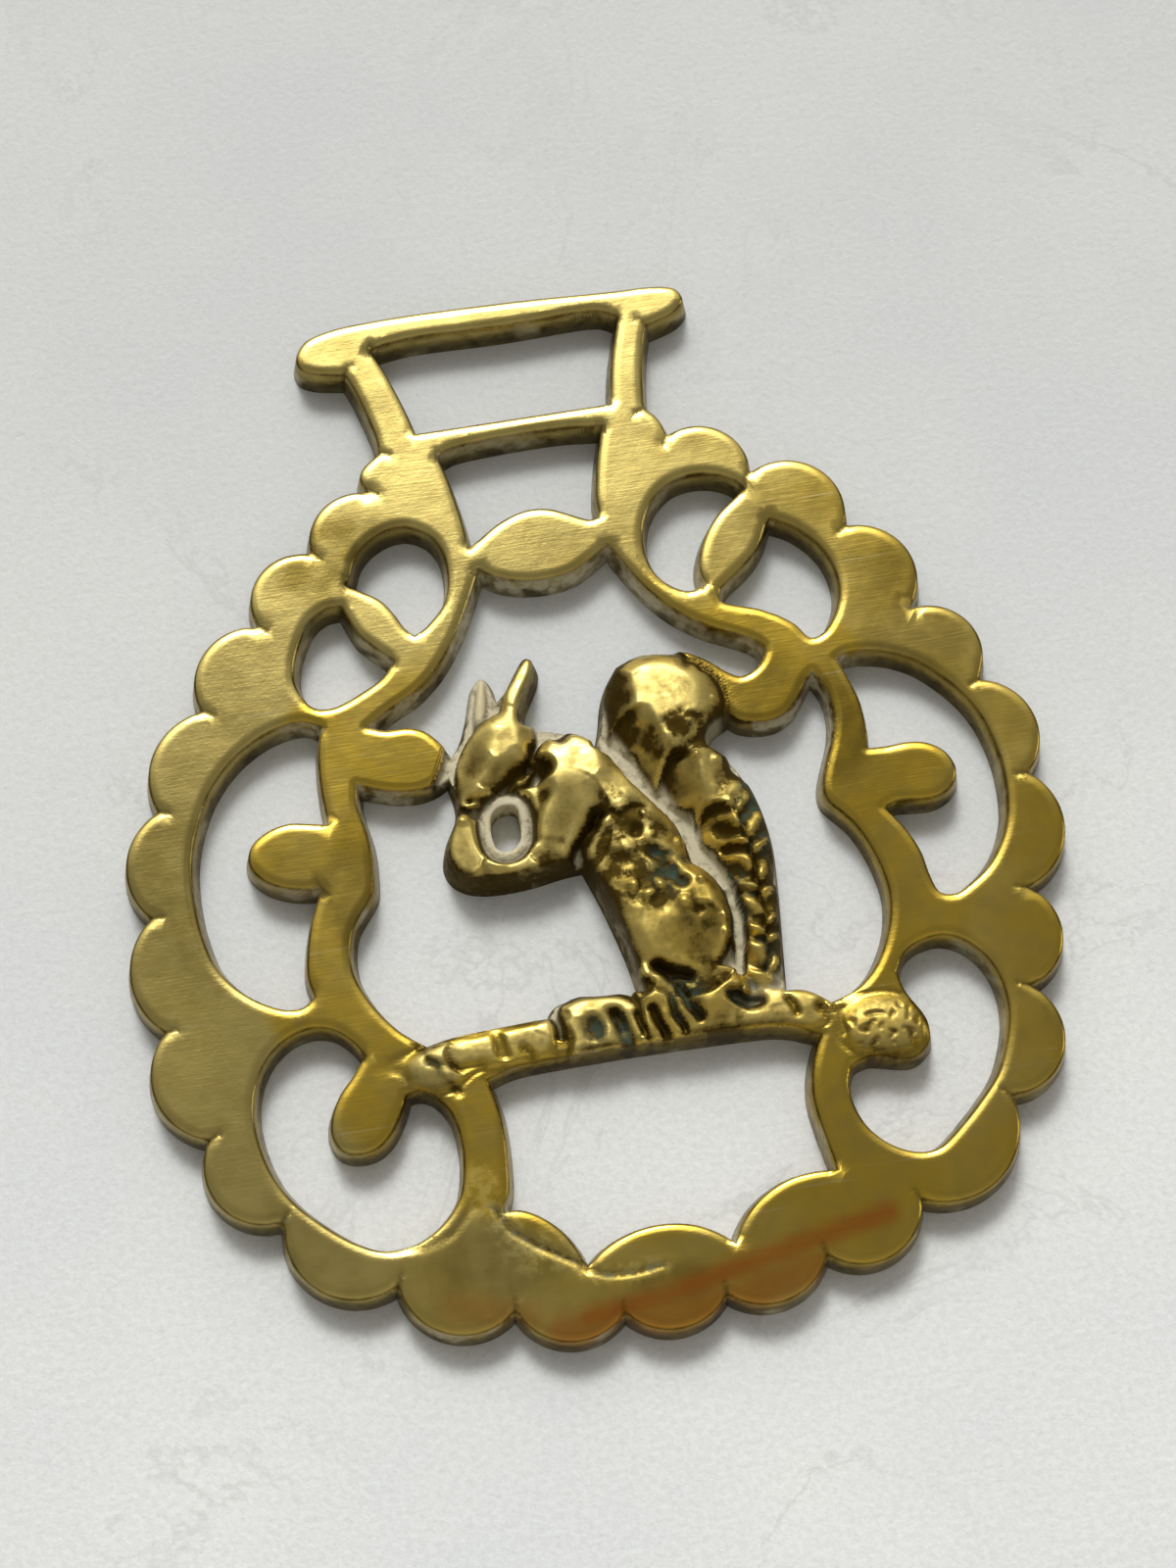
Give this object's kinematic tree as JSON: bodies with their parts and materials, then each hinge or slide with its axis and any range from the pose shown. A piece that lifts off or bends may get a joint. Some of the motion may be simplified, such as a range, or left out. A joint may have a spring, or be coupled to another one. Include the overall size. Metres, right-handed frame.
{
  "type": "horse brass",
  "caption": "Flat cast-brass harness ornament: a scalloped ring with scrolls and leaves round a sitting squirrel on a branch, under a slotted strap hanger.",
  "frame": {"origin": "on the flat back, at the middle of the box that holds the ornament lying face up", "axes": "+Y from the ring towards the hanger, +Z out of the face, +X to the viewer's right"},
  "size_m": [0.0768, 0.0888, 0.006],
  "materials": {
    "brass": "hand-polished cast brass, mellowed to olive gold, with brown tarnish and pale polish residue in the recesses"
  },
  "bodies": {
    "root": {"brass_casting": "brass"}
  },
  "joints": []
}
